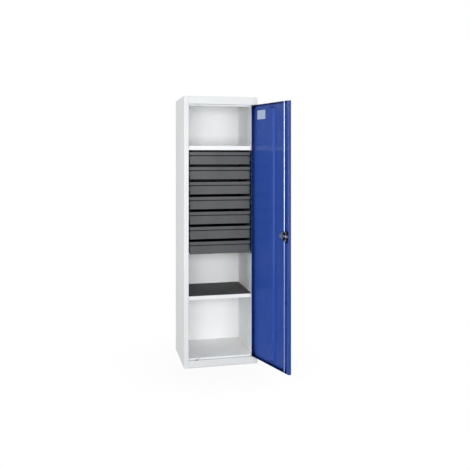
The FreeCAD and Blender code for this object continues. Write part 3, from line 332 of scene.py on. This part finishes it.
# Painted shade on the door: its hinge fold and the channel beside the rod go dark, and below 0.70 m the
# coat's gloss is taken away for light that falls off towards the bottom
door_paint = powder_coat("door_paint", BLUE, 0.36, 0.05, scuff=BLUE_SCUFF, painted_shade=1.0,
                         shine=0.1, reach=0.1, shares=(0.58, 0.74), coat=0.40, dulled=(0.55, 0.70))
guide_paint = powder_coat("guide_paint", BLUE, 0.4, 0.05, shine=0.1)
# Painted shade: drawer fronts darken in their folds, and trays and packing posts go near black where shut
# in
drawer_paint = powder_coat("drawer_paint", ANTHRACITE, 0.48, 0.06, peel=0.5, painted_shade=0.9, reach=0.06)
tray_paint = powder_coat("tray_paint", ANTHRACITE, 0.52, 0.06, peel=0.5, painted_shade=1.0, reach=0.3,
                         shares=(0.28, 0.62))
zinc = plated("zinc", rgb(0.72, 0.74, 0.77), 0.32)
# Painted shade: the runner rails go dark where shut in behind the drawers
rail_zinc = plated("rail_zinc", rgb(0.72, 0.74, 0.77), 0.34, ALONG_RAIL, painted_shade=1.0)
# The rods' blue tint is a painted reflection of the blue door, and the lower rod's darker, bluer copy of
# that steel is painted shade lower on the door
rod_steel = plated("rod_steel", rgb(0.55, 0.65, 0.84), 0.36, ALONG_ROD, rgb(0.49, 0.60, 0.80),
                   foot=PLATE_HALF_HEIGHT)
low_rod_shaded_steel = plated("low_rod_shaded_steel", rgb(0.34, 0.41, 0.68), 0.36, ALONG_ROD, rgb(0.28, 0.36, 0.64),
                       foot=PLATE_HALF_HEIGHT)
bolt_steel = plated("bolt_steel", rgb(0.25, 0.28, 0.33), 0.34, ALL_WAYS, rgb(0.20, 0.23, 0.28))
guide_steel = plated("guide_steel", rgb(0.21, 0.27, 0.46), 0.42, ALL_WAYS, rgb(0.18, 0.24, 0.42))
blackened = moulded("blackened", rgb(0.006, 0.007, 0.012), 0.58, 500.0, shine=0.05)
chrome = plated("chrome", rgb(0.88, 0.88, 0.90), 0.10, ALL_WAYS, rgb(0.80, 0.82, 0.85))
black_plastic = moulded("black_plastic", rgb(0.004, 0.006, 0.012), 0.60, shine=0.04)
handle_plastic = moulded("handle_plastic", rgb(0.016, 0.016, 0.018), 0.36, 1300.0)
# Painted shade: the runner glides go dark where shut in
nylon = moulded("nylon", rgb(0.80, 0.79, 0.74), 0.45, 500.0, 0.04, painted_shade=1.0)
clear_rubber = moulded("clear_rubber", rgb(0.66, 0.68, 0.68), 0.4, 400.0, 0.05)
mat_rubber = ribbed_rubber("mat_rubber", rgb(0.068, 0.070, 0.070))
label_film = bare_label("label_film", rgb(0.44, 0.53, 0.69))

FINISHES = {
    "left_side_panel": carcass_paint, "right_side_panel": carcass_paint, "back_panel": wall_paint,
    "top_panel": carcass_paint, "plinth": carcass_paint, "floor_panel": shelf_paint,
    "left_liner": wall_paint, "right_liner": wall_paint, "upper_shelf": shelf_paint,
    "lower_shelf": shelf_paint, "shelf_mat": mat_rubber, "shelf_clips": zinc, "hinge_pins": zinc,
    "door_buffers": clear_rubber, "left_fixed_rails": rail_zinc, "right_fixed_rails": rail_zinc,
    "packing_posts": tray_paint, "runner_glides": nylon, "door_panel": door_paint,
    "door_stiffener": door_paint, "label_plate": label_film, "hinge_bushes": black_plastic,
    "rod_guides": guide_paint, "lock_case": black_plastic, "bolt_guide": guide_steel,
    "rosette": handle_plastic, "turn_handle": handle_plastic, "lock_spindle": zinc, "lock_cam": blackened,
    "lock_cylinder": chrome, "upper_rod": rod_steel, "lower_rod": low_rod_shaded_steel, "latch_bolt": bolt_steel,
}
for number in DRAWERS:
    FINISHES[f"drawer_{number}_tray"] = tray_paint
    FINISHES[f"drawer_{number}_front"] = drawer_paint
    FINISHES[f"drawer_{number}_runners"] = rail_zinc

for node_name, finish in FINISHES.items():
    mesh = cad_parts[node_name].data
    mesh.materials.clear()
    mesh.materials.append(finish)


# ---- Small fittings

def mesh_piece(name, build, material, body):
    """A new piece on a body. The given function builds its mesh in the room's frame."""
    shape = bmesh.new()
    build(shape)
    data = bpy.data.meshes.new(name)
    shape.to_mesh(data)
    shape.free()
    piece = bpy.data.objects.new(name, data)
    scene.collection.objects.link(piece)
    data.materials.append(material)
    for face in data.polygons:
        face.use_smooth = True
    data.set_sharp_from_angle(angle=math.radians(35))
    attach(piece, body)


def facing(direction):
    """The turn that brings +Z to the given direction."""
    return Vector((0, 0, 1)).rotation_difference(Vector(direction)).to_matrix().to_4x4()


def lathe(shape, profile, place, direction, sides=20):
    """Revolves (radius, height) pairs about a direction, and closes both ends."""
    turn = Matrix.Translation(place) @ facing(direction)
    rings = []
    for radius, height in profile:
        ring = []
        for step in range(sides):
            angle = 2 * math.pi * step / sides
            spot = Vector((radius * math.cos(angle), radius * math.sin(angle), height))
            ring.append(shape.verts.new(turn @ spot))
        rings.append(ring)
    for lower, upper in zip(rings, rings[1:]):
        for step in range(sides):
            after = (step + 1) % sides
            shape.faces.new((lower[step], lower[after], upper[after], upper[step]))
    shape.faces.new(rings[0][::-1])
    shape.faces.new(rings[-1])


def rivet(shape, place, direction, radius=0.0028, height=0.0011):
    """A domed blind-rivet head with the small dimple of its broken mandrel."""
    profile = [(radius, 0.0), (radius, height * 0.25), (radius * 0.9, height * 0.62),
               (radius * 0.66, height * 0.92), (radius * 0.42, height), (radius * 0.34, height * 0.8),
               (radius * 0.3, height * 0.45)]
    lathe(shape, profile, place, direction)


def pan_screw(shape, place, direction, radius=0.0032, height=0.0017):
    """A pan head with a recess for the driver."""
    profile = [(radius, 0.0), (radius, height * 0.45), (radius * 0.86, height * 0.82),
               (radius * 0.6, height), (radius * 0.44, height), (radius * 0.4, height * 0.35)]
    lathe(shape, profile, place, direction, 24)


def weld_mark(shape, place, direction, radius=0.0034, height=0.00006):
    """The low, soft swelling that a spot weld leaves under the paint."""
    profile = [(radius, 0.0), (radius * 0.8, height * 0.55), (radius * 0.5, height), (radius * 0.2, height)]
    lathe(shape, profile, place, direction, 20)


def levels(first, last, step):
    """Evenly spaced levels from the first on, as far as they stay under the last."""
    level = first
    while level < last:
        yield level
        level += step


def door_welds(shape):
    """Rows of spot welds along both feet of the stiffener."""
    for across in (0.178, 0.2685):
        for level in levels(0.115, 1.70, 0.075):
            weld_mark(shape, on_door(across, FOOT_FACE, level), DOOR_IN)


def lock_screws(shape):
    """Four screws that hold the lock case to the door."""
    for across in (0.376, 0.4285):
        for level in (LOCK_LEVEL - 0.0285, LOCK_LEVEL + 0.0285):
            pan_screw(shape, on_door(across, CASE_FACE, level), DOOR_IN)


def guide_rivets(shape):
    """Rivets in the feet of the bolt guide."""
    for across in (0.344, 0.362):
        for level in (LOCK_LEVEL - 0.016, LOCK_LEVEL + 0.016):
            rivet(shape, on_door(across, FOOT_FACE, level), DOOR_IN, 0.0024, 0.0009)


def label_pins(shape):
    """A small rivet in each corner of the label plate."""
    for across in (0.050, 0.142):
        for level in (1.652, 1.704):
            rivet(shape, on_door(across, LABEL_FACE, level), DOOR_IN, 0.0014, 0.0006)


def post_rivets(shape):
    """Two columns of rivet heads up the inner face of the front packing post."""
    for level in (0.775, 0.925, 1.075, 1.225, 1.375):
        for deep in (-0.189, -0.170):
            rivet(shape, Vector((POST_FACE, deep, level)), (-1, 0, 0), 0.0022, 0.0008)


def carcass_welds(shape):
    """Spot welds up the cabinet's back, through both side panels' rear flanges."""
    for level in levels(0.06, 1.77, 0.095):
        for side in (-0.239, 0.239):
            weld_mark(shape, Vector((side, BACK_FACE, level)), (0, 1, 0), 0.0032)


def keeper_sleeves(shape):
    """Thin plastic linings of the two holes that the lock rods enter, as square tubes."""
    middle = Vector((-0.1625, -0.2097, 0.0))
    half_length, half_width, wall = 0.01095, 0.00595, 0.0004
    for low, high in ((0.0402, 0.0463), (1.7477, 1.7538)):
        loops = []
        for inset, level in ((0.0, low), (0.0, high), (wall, high), (wall, low)):
            across, deep = half_length - inset, half_width - inset
            corners = ((-across, -deep), (across, -deep), (across, deep), (-across, deep))
            loops.append([shape.verts.new(middle + Vector((x, y, level))) for x, y in corners])
        for first, second in zip(loops, loops[1:] + loops[:1]):
            for corner in range(4):
                after = (corner + 1) % 4
                shape.faces.new((first[corner], first[after], second[after], second[corner]))


def drawer_rivets(number):
    """The heads inside a drawer's tray that hold its runners."""
    base = DRAWER_BASE + DRAWER_PITCH * (number - 1)

    def build(shape):
        for deep in (-0.150, 0.010, 0.170):
            for face, inward in ((TRAY_LEFT_FACE, (1, 0, 0)), (TRAY_RIGHT_FACE, (-1, 0, 0))):
                rivet(shape, Vector((face, deep, base + RUNNER_LEVEL)), inward, 0.0024, 0.0008)

    return build


mesh_piece("door_welds", door_welds, door_paint, "door")
mesh_piece("lock_screws", lock_screws, blackened, "door")
mesh_piece("guide_rivets", guide_rivets, zinc, "door")
mesh_piece("label_pins", label_pins, zinc, "door")
mesh_piece("post_rivets", post_rivets, zinc, "cabinet")
mesh_piece("carcass_welds", carcass_welds, inner_paint, "cabinet")
mesh_piece("keeper_sleeves", keeper_sleeves, black_plastic, "cabinet")
for number in DRAWERS:
    mesh_piece(f"drawer_{number}_rivets", drawer_rivets(number), zinc, f"drawer_{number}")


# ---- Floor, light and camera

def pale_floor():
    """A white floor that keeps a soft shadow near the cabinet and fades to plain white further out."""
    shade = Shade("floor")
    speck = shade.noise(40.0, 3.0, 0.6)
    pale = shade.mix(shade.ramp(speck, 0.3, 0.7), rgb(0.94, 0.94, 0.94), rgb(0.95, 0.95, 0.95))
    base = shade.mix(shade.seen(), rgb(0.14, 0.14, 0.14), pale)
    rough = shade.ramp(speck, 0.3, 0.7, 0.75, 0.9)
    shader = shade.add("ShaderNodeBsdfPrincipled", {"Base Color": base, "Roughness": rough,
                                                    "Specular IOR Level": 0.1})
    white = shade.add("ShaderNodeEmission", {"Color": rgb(1, 1, 1), "Strength": 1.0})
    flat = shade.add("ShaderNodeVectorMath", {0: shade.place, 1: (1.0, 1.0, 0.0)}, operation="MULTIPLY")
    far = shade.add("ShaderNodeVectorMath", {0: flat.outputs["Vector"]}, operation="LENGTH")
    fade = shade.ramp(far.outputs["Value"], *FADE, 0.9, 1.0)
    beside = [shade.maths(shade.maths(shade.axis(letter), "ABSOLUTE"), "GREATER_THAN", edge)
              for letter, edge in COVERED]
    uncovered = shade.maths(beside[0], "MAXIMUM", beside[1])
    factor = shade.maths(shade.maths(fade, "MULTIPLY", uncovered), "MULTIPLY", shade.seen())
    both = shade.add("ShaderNodeMixShader", {0: factor, 1: shader.outputs["BSDF"],
                                             2: white.outputs["Emission"]})
    output = shade.add("ShaderNodeOutputMaterial")
    shade.links.new(both.outputs["Shader"], output.inputs["Surface"])
    return shade.material


bpy.ops.mesh.primitive_plane_add(size=24.0, location=(0, 0, -0.0005))
floor = bpy.context.object
floor.name = "studio_floor"
floor.data.materials.append(pale_floor())

# The world lights the cabinet evenly. To the camera and in mirrors it is plain white.
world = bpy.data.worlds.new("studio_world")
scene.world = world
world.use_nodes = True
tree = world.node_tree
tree.nodes.clear()
light_sky = tree.nodes.new("ShaderNodeBackground")
light_sky.inputs["Color"].default_value = rgb(0.97, 0.985, 1.0)
light_sky.inputs["Strength"].default_value = 0.46
seen_sky = tree.nodes.new("ShaderNodeBackground")
seen_sky.inputs["Color"].default_value = rgb(1, 1, 1)
seen_sky.inputs["Strength"].default_value = 1.0
rays = tree.nodes.new("ShaderNodeLightPath").outputs
mirrored = tree.nodes.new("ShaderNodeMath")
mirrored.operation = "MAXIMUM"
tree.links.new(rays["Is Glossy Ray"], mirrored.inputs[0])
tree.links.new(rays["Is Transmission Ray"], mirrored.inputs[1])
seen = tree.nodes.new("ShaderNodeMath")
seen.operation = "MAXIMUM"
tree.links.new(rays["Is Camera Ray"], seen.inputs[0])
tree.links.new(mirrored.outputs[0], seen.inputs[1])
choose = tree.nodes.new("ShaderNodeMixShader")
sky_output = tree.nodes.new("ShaderNodeOutputWorld")
tree.links.new(seen.outputs[0], choose.inputs[0])
tree.links.new(light_sky.outputs[0], choose.inputs[1])
tree.links.new(seen_sky.outputs[0], choose.inputs[2])
tree.links.new(choose.outputs[0], sky_output.inputs[0])


def softbox(name, place, aim, width, height, power):
    """A lamp with a rectangular face that looks at its aim. The power is in watts."""
    data = bpy.data.lights.new(name, "AREA")
    data.shape = "RECTANGLE"
    data.size = width
    data.size_y = height
    data.energy = power
    lamp = bpy.data.objects.new(name, data)
    scene.collection.objects.link(lamp)
    lamp.location = place
    way = Vector(aim) - Vector(place)
    lamp.rotation_euler = way.to_track_quat("-Z", "Y").to_euler()


softbox("front", (-1.2, -5.0, 1.35), (0.0, 0.0, 0.9), 2.0, 1.8, 103)
softbox("right", (0.8, -5.2, 1.2), (0.0, 0.0, 0.9), 1.6, 1.8, 62)
softbox("back", (0.9, 4.6, 1.3), (0.0, 0.2, 0.9), 2.2, 2.4, 90)
softbox("far_side", (4.2, 0.9, 1.3), (0.25, 0.0, 0.9), 2.0, 2.4, 60)
softbox("side", (-3.4, -0.7, 1.3), (-0.25, 0.0, 0.8), 2.0, 2.6, 45)

# The camera that the photograph was taken with, as fitted to the cabinet's edges
camera_data = bpy.data.cameras.new("photo_camera")
camera_data.lens = 48.34
camera_data.sensor_width = 36.0
camera_data.shift_x = -0.0254
camera_data.shift_y = -0.1628
camera = bpy.data.objects.new("photo_camera", camera_data)
scene.collection.objects.link(camera)
camera.location = (-0.8097, -4.3694, 1.3862)
camera.rotation_euler = (math.radians(90.0), 0.0, math.radians(-13.38))
scene.camera = camera

scene.view_settings.view_transform = "Standard"
